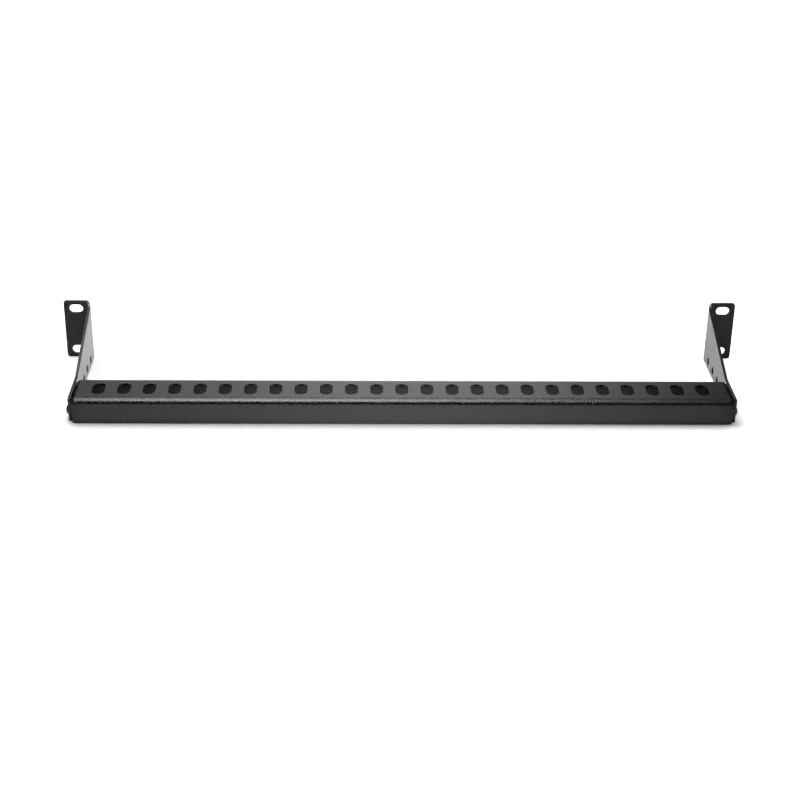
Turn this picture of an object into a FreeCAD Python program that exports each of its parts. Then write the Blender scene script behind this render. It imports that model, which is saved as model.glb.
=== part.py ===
"""Cable lacing bar for a 19-inch rack, one rack unit high and adjustable in depth.

Two folded brackets carry a folded, slotted bar between them. Each bracket is an ear, which bolts to the
rack, and an arm, which reaches forward past a row of holes. Two screws at each end hold the bar's end tab
to its arm, and a clinch nut behind each hole takes the screw.

Frame, in millimetres: X across the rack, +Y into the rack, +Z up. The origin is the middle of the four ear
slots, on the ears' rear face, so the bar lies at negative Y.
"""
import FreeCAD
import Part
import Sketcher
import os

# Directions, and how near two places count as one
CLOSE = 1e-4
ALONG_X = FreeCAD.Vector(1, 0, 0)
ALONG_Y = FreeCAD.Vector(0, 1, 0)
ALONG_Z = FreeCAD.Vector(0, 0, 1)

# Driving dimensions: name, value and what it is
DRIVING_DIMENSIONS = [
    ("rack_slot_span_x", 465.1, "ear slots, centre to centre across the rack"),
    ("rack_slot_span_z", 31.75, "ear slots, centre to centre in height"),
    ("ear_slot_length", 10.4, "ear slot, end to end"),
    ("ear_slot_width", 7.0, "ear slot, across"),
    ("slot_to_tip", 8.75, "ear slot centre to the ear's outer edge"),
    ("slot_to_edge", 5.955, "ear slot centre to the ear's upper or lower edge"),
    ("slot_to_arm", 8.65, "ear slot centre to the arm's outer face"),
    ("ear_corner_radius", 2.0, "outer corners of the ear"),
    ("bracket_sheet", 2.0, "sheet of the brackets"),
    ("bracket_bend", 1.5, "inside radius of the bracket's fold"),
    ("fold_corner_radius", 3.4, "rounding of the ear's top where it meets the fold"),
    ("arm_reach", 104.5, "ear's rear face to the arm's front end"),
    ("nose_corner_radius", 1.5, "corners of the arm's front end"),
    ("kink_gap", 1.0, "bar's back face to the start of the arm's slope"),
    ("kink_radius", 6.0, "rounding where the arm's slope starts"),
    ("hole_setback", 6.5, "arm's front end to its first hole"),
    ("hole_pitch", 15.875, "spacing of the arm's holes"),
    ("hole_rise", 5.5, "arm's lower edge to its holes"),
    ("hole_to_ear", 15.0, "least distance from the ear's rear face to a hole"),
    ("bar_sheet", 1.5, "sheet of the bar"),
    ("bar_bend", 2.5, "inside radius of the bar's long bends"),
    ("bar_height", 18.0, "bar, foot to top"),
    ("bar_drop", 0.6, "bar's foot below the arms' lower edge"),
    ("bar_lead", 2.5, "bar's front face ahead of the arms' front ends"),
    ("bar_tail", 8.1, "rear screw to the bar's back face"),
    ("bar_end_gap", 0.15, "end tab to arm"),
    ("flange_setback", 2.3, "bar's end to the end of its top flange"),
    ("corner_cut_width", 2.4, "cut corner of the top flange, along the bar"),
    ("corner_cut_depth", 5.2, "cut corner of the top flange, across the bar"),
    ("foot_corner_radius", 0.4, "lower corners of the bar's long walls"),
    ("tab_bend", 0.6, "inside radius of the end tabs' bends"),
    ("tab_top_relief", 3.2, "bar's top to the end tab's top"),
    ("tab_foot_relief", 0.5, "bar's foot to the end tab's lower edge"),
    ("tab_back_gap", 0.5, "end tab to the back wall"),
    ("tab_corner_radius", 2.0, "rear corners of the end tabs"),
    ("tie_slot_length", 16.2, "tie slot, end to end"),
    ("tie_slot_width", 8.5, "tie slot, across"),
    ("tie_slot_pitch", 17.0, "spacing of the tie slots"),
    ("tie_slot_margin", 9.0, "least distance from a tie slot to the flange's end"),
    ("tie_slot_shift", -1.2, "middle of the row of tie slots from the bar's middle"),
    ("thread_diameter", 4.0, "screw thread"),
    ("hole_clearance", 0.6, "arm hole larger than the screw, each side"),
    ("thread_clearance", 0.05, "nut bore larger than the screw, each side"),
    ("head_overhang", 1.5, "screw head wider than its thread, each side"),
    ("head_height", 2.6, "screw head"),
    ("head_chamfer", 1.2, "sloping shoulder of the screw head"),
    ("recess_span", 3.6, "cross recess, end to end"),
    ("recess_width", 0.9, "cross recess, across one arm"),
    ("recess_depth", 1.5, "cross recess"),
    ("screw_stickout", 2.35, "screw end past its nut"),
    ("nut_wall", 0.7, "wall of the nut's shank"),
    ("nut_overhang", 1.25, "nut wider than its shank, each side"),
    ("nut_height", 2.0, "nut above the sheet"),
    ("nut_fit", 0.02, "hole in the end tab larger than the nut's shank, each side"),
    ("cut_margin", 5.0, "how far a cutting outline runs past the sheet"),
]

# Places worked out from the driving dimensions, as expressions
EAR_TIP = "(Sizes.rack_slot_span_x / 2 + Sizes.slot_to_tip)"
ARM_OUTER = "(Sizes.rack_slot_span_x / 2 - Sizes.slot_to_arm)"
ARM_INNER = f"({ARM_OUTER} - Sizes.bracket_sheet)"
PANEL_HALF = "(Sizes.rack_slot_span_z / 2 + Sizes.slot_to_edge)"
BRACKET_BEND_OUTER = "(Sizes.bracket_bend + Sizes.bracket_sheet)"

BAR_FRONT = "(-Sizes.arm_reach - Sizes.bar_lead)"
FRONT_SCREW = "(-Sizes.arm_reach + Sizes.hole_setback)"
REAR_SCREW = f"({FRONT_SCREW} + Sizes.hole_pitch)"
BAR_BACK = f"({REAR_SCREW} + Sizes.bar_tail)"
BAR_FOOT = f"(-{PANEL_HALF} - Sizes.bar_drop)"
BAR_TOP = f"({BAR_FOOT} + Sizes.bar_height)"
BAR_BEND_OUTER = "(Sizes.bar_bend + Sizes.bar_sheet)"
BAR_END = f"({ARM_INNER} - Sizes.bar_end_gap)"
FLANGE_END = f"({BAR_END} - Sizes.flange_setback)"
TAB_INNER = f"({BAR_END} - Sizes.bar_sheet)"
TAB_BACK = f"({BAR_BACK} - Sizes.bar_sheet - Sizes.tab_back_gap)"
TAB_FOOT = f"({BAR_FOOT} + Sizes.tab_foot_relief)"
TAB_TOP = f"({BAR_TOP} - Sizes.tab_top_relief)"

HOLE_ROW = f"(-{PANEL_HALF} + Sizes.hole_rise)"
HOLE_COUNT = f"(floor((-{FRONT_SCREW} - Sizes.hole_to_ear) / Sizes.hole_pitch) + 1)"
TIE_SLOT_ROOM = f"(2 * ({FLANGE_END} - Sizes.tie_slot_margin) - Sizes.tie_slot_width)"
TIE_SLOT_COUNT = f"(floor({TIE_SLOT_ROOM} / Sizes.tie_slot_pitch) + 1)"
TIE_SLOT_RUN = f"(({TIE_SLOT_COUNT} - 1) * Sizes.tie_slot_pitch)"
TIE_SLOT_FIRST = f"(Sizes.tie_slot_shift - {TIE_SLOT_RUN} / 2)"

NUT_SHANK = "(Sizes.thread_diameter + 2 * Sizes.nut_wall)"
SCREW_LENGTH = ("(Sizes.bracket_sheet + Sizes.bar_end_gap + Sizes.bar_sheet"
                " + Sizes.nut_height + Sizes.screw_stickout)")

doc = FreeCAD.newDocument("cable_lacing_bar")
sizes = doc.addObject("Spreadsheet::Sheet", "Sizes")
for row, (name, value, remark) in enumerate(DRIVING_DIMENSIONS, start=1):
    sizes.set(f"A{row}", name)
    sizes.set(f"B{row}", str(value))
    sizes.set(f"C{row}", remark)
    sizes.setAlias(f"B{row}", name)
doc.recompute()


def number(expression):
    """The value of an expression, in millimetres."""
    return float(sizes.evalExpression(expression))


def point(place):
    """A sketch point from a pair of expressions."""
    return FreeCAD.Vector(number(place[0]), number(place[1]), 0)


# Sketch helpers
def new_sketch(body, plane_role, name, height=None):
    """A sketch on one of the body's own origin planes, raised by an expression if one is given."""
    sketch = body.newObject("Sketcher::SketchObject", name)
    planes = [feature for feature in body.Origin.OriginFeatures if feature.Role == plane_role]
    sketch.AttachmentSupport = [(planes[0], "")]
    sketch.MapMode = "FlatFace"
    if height is not None:
        sketch.setExpression("AttachmentOffset.Base.z", height)
    return sketch


def bind(sketch, value_of, *constraint):
    """Adds a dimension to a sketch and ties it to an expression."""
    index = sketch.addConstraint(Sketcher.Constraint(*constraint, number(value_of)))
    sketch.setExpression(f"Constraints[{index}]", value_of)


def pin(sketch, geometry, end, place):
    """Holds one point of the geometry at a pair of expressions."""
    bind(sketch, place[0], "DistanceX", -1, 1, geometry, end)
    bind(sketch, place[1], "DistanceY", -1, 1, geometry, end)


def draw_polygon(sketch, corners):
    """A closed outline of straight lines with every corner held at a pair of expressions."""
    lines = []
    for start, end in zip(corners, corners[1:] + corners[:1]):
        lines.append(sketch.addGeometry(Part.LineSegment(point(start), point(end)), False))
    for line, following, corner in zip(lines, lines[1:] + lines[:1], corners):
        sketch.addConstraint(Sketcher.Constraint("Coincident", line, 2, following, 1))
        pin(sketch, line, 1, corner)


def draw_circle(sketch, centre, diameter):
    """A circle with its centre and diameter held by expressions."""
    shape = Part.Circle(point(centre), FreeCAD.Vector(0, 0, 1), number(diameter) / 2)
    circle = sketch.addGeometry(shape, False)
    pin(sketch, circle, 3, centre)
    bind(sketch, diameter, "Diameter", circle)


def draw_slot(sketch, centre, length, width, upright):
    """A slot with round ends, lying along the sketch's first axis or standing along its second."""
    reach = f"(({length}) - ({width})) / 2"
    if upright:
        low, high = [(centre[0], f"{centre[1]} {sign} {reach}") for sign in "-+"]
        side = FreeCAD.Vector(number(width) / 2, 0, 0)
    else:
        low, high = [(f"{centre[0]} {sign} {reach}", centre[1]) for sign in "+-"]
        side = FreeCAD.Vector(0, number(width) / 2, 0)
    outward = (point(low) - point(high)).normalize() * (number(width) / 2)
    low_arc = Part.Arc(point(low) - side, point(low) + outward, point(low) + side)
    high_arc = Part.Arc(point(high) + side, point(high) - outward, point(high) - side)
    outline = [
        sketch.addGeometry(low_arc, False),
        sketch.addGeometry(Part.LineSegment(point(low) + side, point(high) + side), False),
        sketch.addGeometry(high_arc, False),
        sketch.addGeometry(Part.LineSegment(point(high) - side, point(low) - side), False),
    ]
    for piece, following in zip(outline, outline[1:] + outline[:1]):
        sketch.addConstraint(Sketcher.Constraint("Tangent", piece, 2, following, 1))
    pin(sketch, outline[0], 3, low)
    pin(sketch, outline[2], 3, high)
    bind(sketch, f"({width}) / 2", "Radius", outline[0])
    sketch.addConstraint(Sketcher.Constraint("Equal", outline[0], outline[2]))


def draw_corner_waste(sketch, side, corner, radius, margin):
    """The waste outside a rounded upper corner, which is cut away; the corner's round is one arc."""
    centre = (f"{corner[0]} + {side} * {radius}", f"{corner[1]} - {radius}")
    low = (corner[0], centre[1])
    high = (centre[0], corner[1])
    far_high = (centre[0], f"{corner[1]} + {margin}")
    far = (f"{corner[0]} - {side} * {margin}", far_high[1])
    far_low = (far[0], centre[1])
    middle = point(centre) + (point(corner) - point(centre)).normalize() * number(radius)
    arc = sketch.addGeometry(Part.Arc(point(low), middle, point(high)), False)
    stops = [high, far_high, far, far_low, low]
    lines = []
    for start, end in zip(stops, stops[1:]):
        lines.append(sketch.addGeometry(Part.LineSegment(point(start), point(end)), False))
    arc_low, arc_high = (2, 1) if side > 0 else (1, 2)
    sketch.addConstraint(Sketcher.Constraint("Coincident", arc, arc_high, lines[0], 1))
    sketch.addConstraint(Sketcher.Constraint("Coincident", arc, arc_low, lines[-1], 2))
    for line, following in zip(lines, lines[1:]):
        sketch.addConstraint(Sketcher.Constraint("Coincident", line, 2, following, 1))
    for line, direction in zip(lines, ["Vertical", "Horizontal", "Vertical", "Horizontal"]):
        sketch.addConstraint(Sketcher.Constraint(direction, line))
    pin(sketch, arc, 3, centre)
    bind(sketch, radius, "Radius", arc)
    sketch.addConstraint(Sketcher.Constraint("Horizontal", arc, 3, arc, arc_low))
    sketch.addConstraint(Sketcher.Constraint("Vertical", arc, 3, arc, arc_high))
    pin(sketch, lines[1], 2, far)


# Feature helpers
def pad(body, sketch, name, length, symmetric=False):
    """Adds a sheet of the sketch's outline."""
    feature = body.newObject("PartDesign::Pad", name)
    feature.Profile = sketch
    feature.setExpression("Length", length)
    if symmetric:
        feature.SideType = "Symmetric"
    doc.recompute()
    return feature


def pocket(body, sketch, name, depth=None, symmetric=False):
    """Cuts the sketch's outline away, right through unless a depth is given, and makes sure that it cut."""
    before = body.Shape.Volume
    feature = body.newObject("PartDesign::Pocket", name)
    feature.Profile = sketch
    if depth is None:
        feature.Type = "ThroughAll"
    else:
        feature.setExpression("Length", depth)
    if symmetric:
        feature.SideType = "Symmetric"
    doc.recompute()
    if not body.Shape.Volume < before:
        raise RuntimeError(f"{name} of {body.Label} cuts nothing")
    return feature


def turn(body, sketch, name):
    """Turns the sketch's outline about the body's own Z axis."""
    feature = body.newObject("PartDesign::Revolution", name)
    feature.Profile = sketch
    feature.ReferenceAxis = (sketch, ["V_Axis"])
    feature.Angle = 360
    doc.recompute()
    return feature


def line_pattern(body, original, name, axis_role, pitch, count):
    """Repeats a cut along one of the body's axes."""
    before = body.Shape.Volume
    feature = body.newObject("PartDesign::LinearPattern", name)
    feature.Originals = [original]
    axes = [item for item in body.Origin.OriginFeatures if item.Role == axis_role]
    feature.Direction = (axes[0], [""])
    feature.Mode = "Spacing"
    feature.setExpression("Offset", pitch)
    feature.setExpression("Occurrences", count)
    body.Tip = feature
    doc.recompute()
    if not body.Shape.Volume < before:
        raise RuntimeError(f"{name} of {body.Label} repeats nothing")
    return feature


def edges_at(body, direction, places):
    """Names of the straight edges that run along a direction through one of the given places."""
    names = []
    for index, edge in enumerate(body.Shape.Edges, start=1):
        if edge.Curve.TypeId != "Part::GeomLine":
            continue
        along = edge.tangentAt(edge.FirstParameter)
        if abs(along.dot(direction)) < 1 - CLOSE:
            continue
        middle = edge.CenterOfMass
        offsets = [(middle - place) - direction * (middle - place).dot(direction) for place in places]
        if min(offset.Length for offset in offsets) < CLOSE:
            names.append(f"Edge{index}")
    return names


def round_edges(body, name, edges, radius):
    """Rounds the named edges of the body's last feature."""
    if not edges:
        raise RuntimeError(f"{name} of {body.Label} finds no edge")
    base = body.Tip
    feature = body.newObject("PartDesign::Fillet", name)
    feature.Base = (base, edges)
    feature.setExpression("Radius", radius)
    body.Tip = feature
    doc.recompute()
    return feature


def new_body(label):
    """An empty body whose label names its file."""
    body = doc.addObject("PartDesign::Body", label)
    body.Label = label
    return body


# Brackets: an ear and an arm folded from one sheet
def make_arm(label, side):
    """One bracket; side is 1 for the right one and -1 for the left one."""
    body = new_body(label)
    inner, outer, tip = [f"{side} * {place}" for place in (ARM_INNER, ARM_OUTER, EAR_TIP)]

    plan = new_sketch(body, "XY_Plane", f"{label}_plan")
    draw_polygon(plan, [
        (inner, "-Sizes.arm_reach"),
        (outer, "-Sizes.arm_reach"),
        (outer, "-Sizes.bracket_sheet"),
        (tip, "-Sizes.bracket_sheet"),
        (tip, "0"),
        (inner, "0"),
    ])
    pad(body, plan, f"{label}_sheet", f"2 * {PANEL_HALF}", symmetric=True)
    outside_fold = [FreeCAD.Vector(number(inner), 0, 0)]
    round_edges(body, f"{label}_fold_outside", edges_at(body, ALONG_Z, outside_fold), BRACKET_BEND_OUTER)
    inside_fold = [FreeCAD.Vector(number(outer), -number("Sizes.bracket_sheet"), 0)]
    round_edges(body, f"{label}_fold_inside", edges_at(body, ALONG_Z, inside_fold), "Sizes.bracket_bend")

    # The arm's top is level over the bar, then climbs straight to the fold
    kink = f"({BAR_BACK} + Sizes.kink_gap)"
    fold_low = f"({PANEL_HALF} - Sizes.fold_corner_radius)"
    fold_inset = (f"({BRACKET_BEND_OUTER}"
                  f" - sqrt({BRACKET_BEND_OUTER} ^ 2 - Sizes.bracket_bend ^ 2))")
    fold_rise = f"sqrt(Sizes.fold_corner_radius ^ 2 - (Sizes.fold_corner_radius - {fold_inset}) ^ 2)"
    ahead = "-Sizes.arm_reach - Sizes.cut_margin"
    above = f"{PANEL_HALF} + Sizes.cut_margin"
    taper = new_sketch(body, "YZ_Plane", f"{label}_taper")
    draw_polygon(taper, [
        (ahead, BAR_TOP),
        (kink, BAR_TOP),
        (f"-{BRACKET_BEND_OUTER}", fold_low),
        ("-Sizes.bracket_sheet", f"{fold_low} + {fold_rise}"),
        ("-Sizes.bracket_sheet", above),
        (ahead, above),
    ])
    pocket(body, taper, f"{label}_taper_cut", symmetric=True)
    fold_corner = new_sketch(body, "XZ_Plane", f"{label}_fold_corner")
    draw_corner_waste(fold_corner, side, (inner, PANEL_HALF), "Sizes.fold_corner_radius", "Sizes.cut_margin")
    pocket(body, fold_corner, f"{label}_fold_corner_cut", symmetric=True)

    ear_slots = new_sketch(body, "XZ_Plane", f"{label}_ear_slots")
    for sign in ("", "-"):
        centre = (f"{side} * Sizes.rack_slot_span_x / 2", f"{sign}Sizes.rack_slot_span_z / 2")
        draw_slot(ear_slots, centre, "Sizes.ear_slot_length", "Sizes.ear_slot_width", upright=False)
    pocket(body, ear_slots, f"{label}_ear_slots_cut", symmetric=True)

    hole = new_sketch(body, "YZ_Plane", f"{label}_hole")
    draw_circle(hole, (FRONT_SCREW, HOLE_ROW), "Sizes.thread_diameter + 2 * Sizes.hole_clearance")
    hole_cut = pocket(body, hole, f"{label}_hole_cut", symmetric=True)
    line_pattern(body, hole_cut, f"{label}_hole_row", "Y_Axis", "Sizes.hole_pitch", HOLE_COUNT)

    half = number(PANEL_HALF)
    ear_corners = [FreeCAD.Vector(number(tip), 0, height) for height in (-half, half)]
    round_edges(body, f"{label}_ear_corners", edges_at(body, ALONG_Y, ear_corners), "Sizes.ear_corner_radius")
    front = -number("Sizes.arm_reach")
    nose_corners = [FreeCAD.Vector(0, front, height) for height in (-half, number(BAR_TOP))]
    round_edges(body, f"{label}_nose_corners", edges_at(body, ALONG_X, nose_corners),
                "Sizes.nose_corner_radius")
    kink_line = [FreeCAD.Vector(0, number(kink), number(BAR_TOP))]
    round_edges(body, f"{label}_kink_round", edges_at(body, ALONG_X, kink_line), "Sizes.kink_radius")
    return body


# Bar: a slotted channel, open below, with an end tab folded back from each end of its front wall
def make_bar(label):
    """The lacing bar, folded from one sheet."""
    body = new_body(label)
    section = new_sketch(body, "YZ_Plane", "bar_section")
    draw_polygon(section, [
        (BAR_FRONT, BAR_FOOT),
        (BAR_FRONT, BAR_TOP),
        (BAR_BACK, BAR_TOP),
        (BAR_BACK, BAR_FOOT),
        (f"{BAR_BACK} - Sizes.bar_sheet", BAR_FOOT),
        (f"{BAR_BACK} - Sizes.bar_sheet", f"{BAR_TOP} - Sizes.bar_sheet"),
        (f"{BAR_FRONT} + Sizes.bar_sheet", f"{BAR_TOP} - Sizes.bar_sheet"),
        (f"{BAR_FRONT} + Sizes.bar_sheet", BAR_FOOT),
    ])
    pad(body, section, "bar_channel", f"2 * {FLANGE_END}", symmetric=True)
    front, back, top, foot = [number(place) for place in (BAR_FRONT, BAR_BACK, BAR_TOP, BAR_FOOT)]
    sheet = number("Sizes.bar_sheet")
    outside = [FreeCAD.Vector(0, place, top) for place in (front, back)]
    round_edges(body, "bar_bends_outside", edges_at(body, ALONG_X, outside), BAR_BEND_OUTER)
    inside = [FreeCAD.Vector(0, place, top - sheet) for place in (front + sheet, back - sheet)]
    round_edges(body, "bar_bends_inside", edges_at(body, ALONG_X, inside), "Sizes.bar_bend")

    # Cut rear corners of the flange, so that the back wall clears the end tabs
    corners = new_sketch(body, "XY_Plane", "bar_corner_cuts", height=BAR_TOP)
    for side in (1, -1):
        draw_polygon(corners, [
            (f"{side} * ({FLANGE_END} - Sizes.corner_cut_width)", BAR_BACK),
            (f"{side} * {FLANGE_END}", f"{BAR_BACK} - Sizes.corner_cut_depth"),
            (f"{side} * ({FLANGE_END} + Sizes.cut_margin)", f"{BAR_BACK} - Sizes.corner_cut_depth"),
            (f"{side} * ({FLANGE_END} + Sizes.cut_margin)", f"{BAR_BACK} + Sizes.cut_margin"),
            (f"{side} * ({FLANGE_END} - Sizes.corner_cut_width)", f"{BAR_BACK} + Sizes.cut_margin"),
        ])
    pocket(body, corners, "bar_corners_cut")
    wall_ends = [FreeCAD.Vector(side * number(FLANGE_END), 0, foot) for side in (1, -1)]
    round_edges(body, "bar_foot_corners", edges_at(body, ALONG_Y, wall_ends), "Sizes.foot_corner_radius")

    # End tabs
    tabs = new_sketch(body, "XY_Plane", "bar_tabs", height=TAB_FOOT)
    for side in (1, -1):
        root = f"{side} * ({FLANGE_END} - Sizes.bar_sheet)"
        draw_polygon(tabs, [
            (root, BAR_FRONT),
            (f"{side} * {BAR_END}", BAR_FRONT),
            (f"{side} * {BAR_END}", TAB_BACK),
            (f"{side} * {TAB_INNER}", TAB_BACK),
            (f"{side} * {TAB_INNER}", f"{BAR_FRONT} + Sizes.bar_sheet"),
            (root, f"{BAR_FRONT} + Sizes.bar_sheet"),
        ])
    pad(body, tabs, "bar_tab_sheets", f"{TAB_TOP} - {TAB_FOOT}")
    bar_end, tab_inner, tab_back = [number(place) for place in (BAR_END, TAB_INNER, TAB_BACK)]
    tab_outside = [FreeCAD.Vector(side * bar_end, front, 0) for side in (1, -1)]
    round_edges(body, "bar_tab_bends_outside", edges_at(body, ALONG_Z, tab_outside),
                "Sizes.tab_bend + Sizes.bar_sheet")
    tab_inside = [FreeCAD.Vector(side * tab_inner, front + sheet, 0) for side in (1, -1)]
    round_edges(body, "bar_tab_bends_inside", edges_at(body, ALONG_Z, tab_inside), "Sizes.tab_bend")
    tab_corners = [FreeCAD.Vector(0, tab_back, number(place)) for place in (TAB_FOOT, TAB_TOP)]
    round_edges(body, "bar_tab_corners", edges_at(body, ALONG_X, tab_corners), "Sizes.tab_corner_radius")
    screw_holes = new_sketch(body, "YZ_Plane", "bar_screw_holes")
    for place in (FRONT_SCREW, REAR_SCREW):
        draw_circle(screw_holes, (place, HOLE_ROW), f"{NUT_SHANK} + 2 * Sizes.nut_fit")
    pocket(body, screw_holes, "bar_screw_holes_cut", symmetric=True)

    # Tie slots along the top
    tie_slot = new_sketch(body, "XY_Plane", "bar_tie_slot", height=BAR_TOP)
    first = (TIE_SLOT_FIRST, f"({BAR_FRONT} + {BAR_BACK}) / 2")
    draw_slot(tie_slot, first, "Sizes.tie_slot_length", "Sizes.tie_slot_width", upright=True)
    tie_slot_cut = pocket(body, tie_slot, "bar_tie_slot_cut")
    line_pattern(body, tie_slot_cut, "bar_tie_slots", "X_Axis", "Sizes.tie_slot_pitch", TIE_SLOT_COUNT)
    return body


# Fasteners, each modelled upright at its seat and then laid across the arm
def lay_across(body, side, seat, place):
    """Turns a fastener so that its own +Z points away from the bar's middle, and seats it."""
    body.Placement.Rotation = FreeCAD.Rotation(ALONG_Z, FreeCAD.Vector(side, 0, 0))
    body.setExpression("Placement.Base.x", f"{side} * {seat}")
    body.setExpression("Placement.Base.y", place)
    body.setExpression("Placement.Base.z", HOLE_ROW)
    doc.recompute()


def make_screw(label, side, place):
    """A pan head screw with a cross recess; its seat is the arm's outer face."""
    body = new_body(label)
    head_radius = "(Sizes.thread_diameter / 2 + Sizes.head_overhang)"
    outline = new_sketch(body, "XZ_Plane", f"{label}_outline")
    draw_polygon(outline, [
        ("0", f"-{SCREW_LENGTH}"),
        ("Sizes.thread_diameter / 2", f"-{SCREW_LENGTH}"),
        ("Sizes.thread_diameter / 2", "0"),
        (head_radius, "0"),
        (head_radius, "Sizes.head_height - Sizes.head_chamfer"),
        (f"{head_radius} - Sizes.head_chamfer", "Sizes.head_height"),
        ("0", "Sizes.head_height"),
    ])
    turn(body, outline, f"{label}_turned")
    recess = new_sketch(body, "XY_Plane", f"{label}_recess", height="Sizes.head_height")
    span, width = "Sizes.recess_span / 2", "Sizes.recess_width / 2"
    draw_polygon(recess, [
        (span, f"-{width}"), (span, width), (width, width), (width, span),
        (f"-{width}", span), (f"-{width}", width), (f"-{span}", width), (f"-{span}", f"-{width}"),
        (f"-{width}", f"-{width}"), (f"-{width}", f"-{span}"), (width, f"-{span}"), (width, f"-{width}"),
    ])
    pocket(body, recess, f"{label}_recess_cut", depth="Sizes.recess_depth")
    lay_across(body, side, ARM_OUTER, place)
    return body


def make_nut(label, side, place):
    """A clinch nut, its shank pressed into the end tab; its seat is the tab's inner face."""
    body = new_body(label)
    bore = "(Sizes.thread_diameter / 2 + Sizes.thread_clearance)"
    shank = f"({NUT_SHANK} / 2)"
    rim = f"({shank} + Sizes.nut_overhang)"
    outline = new_sketch(body, "XZ_Plane", f"{label}_outline")
    draw_polygon(outline, [
        (bore, "-Sizes.nut_height"),
        (rim, "-Sizes.nut_height"),
        (rim, "0"),
        (shank, "0"),
        (shank, "Sizes.bar_sheet"),
        (bore, "Sizes.bar_sheet"),
    ])
    turn(body, outline, f"{label}_turned")
    lay_across(body, side, TAB_INNER, place)
    return body


pieces = [make_bar("lacing_bar")]
for side_name, side in (("left", -1), ("right", 1)):
    pieces.append(make_arm(f"{side_name}_arm", side))
    for place_name, place in (("front", FRONT_SCREW), ("rear", REAR_SCREW)):
        pieces.append(make_screw(f"screw_{side_name}_{place_name}", side, place))
        pieces.append(make_nut(f"nut_{side_name}_{place_name}", side, place))

doc.recompute()
for item in doc.Objects:
    if "Invalid" in item.State or "Error" in item.State:
        raise RuntimeError(f"{item.Label} did not build: {item.State}")
for piece in pieces:
    if piece.Shape.isNull() or not piece.Shape.isValid() or len(piece.Shape.Solids) != 1:
        raise RuntimeError(f"{piece.Label} is not one sound solid")

os.makedirs("parts", exist_ok=True)
for piece in pieces:
    piece.Shape.exportStep(f"parts/{piece.Label}.step")
    print(f"{piece.Label}: {piece.Shape.Volume:.0f} mm3")
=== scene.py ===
# %% [markdown]
# # A cable lacing bar, dressed for the camera
#
# The real object is a slotted steel bar that spans a rack. Two folded brackets carry it, and everything has
# a black powder coat with a fine texture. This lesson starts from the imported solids, which give the frame and
# the places, and lays finer surfaces over them. All lengths are in millimetres until they go into a mesh.

# %% Load the frame
import bpy
import numpy as np
from mathutils import Matrix


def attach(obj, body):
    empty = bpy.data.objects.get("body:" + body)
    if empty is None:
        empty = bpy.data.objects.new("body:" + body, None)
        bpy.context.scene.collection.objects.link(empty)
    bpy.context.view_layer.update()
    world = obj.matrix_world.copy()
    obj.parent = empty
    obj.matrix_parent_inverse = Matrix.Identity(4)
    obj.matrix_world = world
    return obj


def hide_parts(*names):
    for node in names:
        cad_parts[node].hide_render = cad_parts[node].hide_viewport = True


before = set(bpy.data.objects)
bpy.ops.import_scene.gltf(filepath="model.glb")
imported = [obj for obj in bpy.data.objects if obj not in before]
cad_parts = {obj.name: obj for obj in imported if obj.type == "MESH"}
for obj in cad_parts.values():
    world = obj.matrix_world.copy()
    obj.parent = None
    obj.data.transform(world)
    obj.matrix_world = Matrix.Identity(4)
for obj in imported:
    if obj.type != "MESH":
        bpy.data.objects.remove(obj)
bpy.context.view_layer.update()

MM = 0.001


print("solids:", sorted(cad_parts))

# %% [markdown]
# ## The camera
#
# The picture was taken from the front and above with a long lens. The place and the angles below were found
# by laying known points of the solids over the same points in the picture, so they are measured, not judged
# by eye. The camera's matrix is put together from its right, up and backward directions.

# %% Camera
PICTURE_WIDTH = 800
SENSOR = 36.0
FOCAL_PIXELS = 1626.449
CAMERA_PLACE = np.array([-30.7062, -1078.3336, 477.1829])
PITCH, YAW, ROLL = np.radians([26.3563, 1.6473, 0.8858])
NEAREST = 10.0


def new_object(name, data):
    """An object at the origin, put into the scene."""
    thing = bpy.data.objects.new(name, data)
    bpy.context.collection.objects.link(thing)
    return thing


def placing(sideways, upward, backward, place):
    """The matrix of a camera or lamp, from its three directions and its place in millimetres."""
    matrix = np.eye(4)
    matrix[:3, :3] = np.stack([sideways, upward, backward], axis=1)
    matrix[:3, 3] = np.array(place) * MM
    return Matrix(matrix.tolist())


ahead = np.array([np.sin(YAW) * np.cos(PITCH), np.cos(YAW) * np.cos(PITCH), -np.sin(PITCH)])
level_right = np.array([np.cos(YAW), -np.sin(YAW), 0.0])
level_up = np.cross(level_right, ahead)
right = np.cos(ROLL) * level_right + np.sin(ROLL) * level_up
up = np.cos(ROLL) * level_up - np.sin(ROLL) * level_right

camera_data = bpy.data.cameras.new("photo_camera")
camera_data.sensor_width = SENSOR
camera_data.lens = FOCAL_PIXELS * SENSOR / PICTURE_WIDTH
camera_data.clip_start = NEAREST * MM
camera = new_object("photo_camera", camera_data)
camera.matrix_world = placing(right, up, -ahead, CAMERA_PLACE)
bpy.context.scene.camera = camera
print("lens in mm:", round(camera_data.lens, 2))

# %% [markdown]
# ## From arrays to a mesh
#
# Every surface here is worked out as arrays of points and faces. One helper puts them into a mesh at the
# origin, hangs the piece on its body and hides the solid it stands for. Another adds up the signed volume,
# which is positive only when the faces point outwards.

# %% Putting a piece in place
def enclosed_volume(points, faces):
    """Signed volume: faces are cut into triangles, and each adds a sixth of its corners' triple product."""
    total = 0.0
    for second, third in ((1, 2), (2, 3)):
        corners = points[faces[:, [0, second, third]]]
        total += np.einsum("ij,ij->i", corners[:, 0], np.cross(corners[:, 1], corners[:, 2])).sum() / 6
    return total


def new_mesh(name, points, faces):
    """A mesh of points in millimetres, with each face a list of point numbers."""
    mesh = bpy.data.meshes.new(name)
    mesh.from_pydata((points * MM).tolist(), [], faces)
    return mesh


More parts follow.
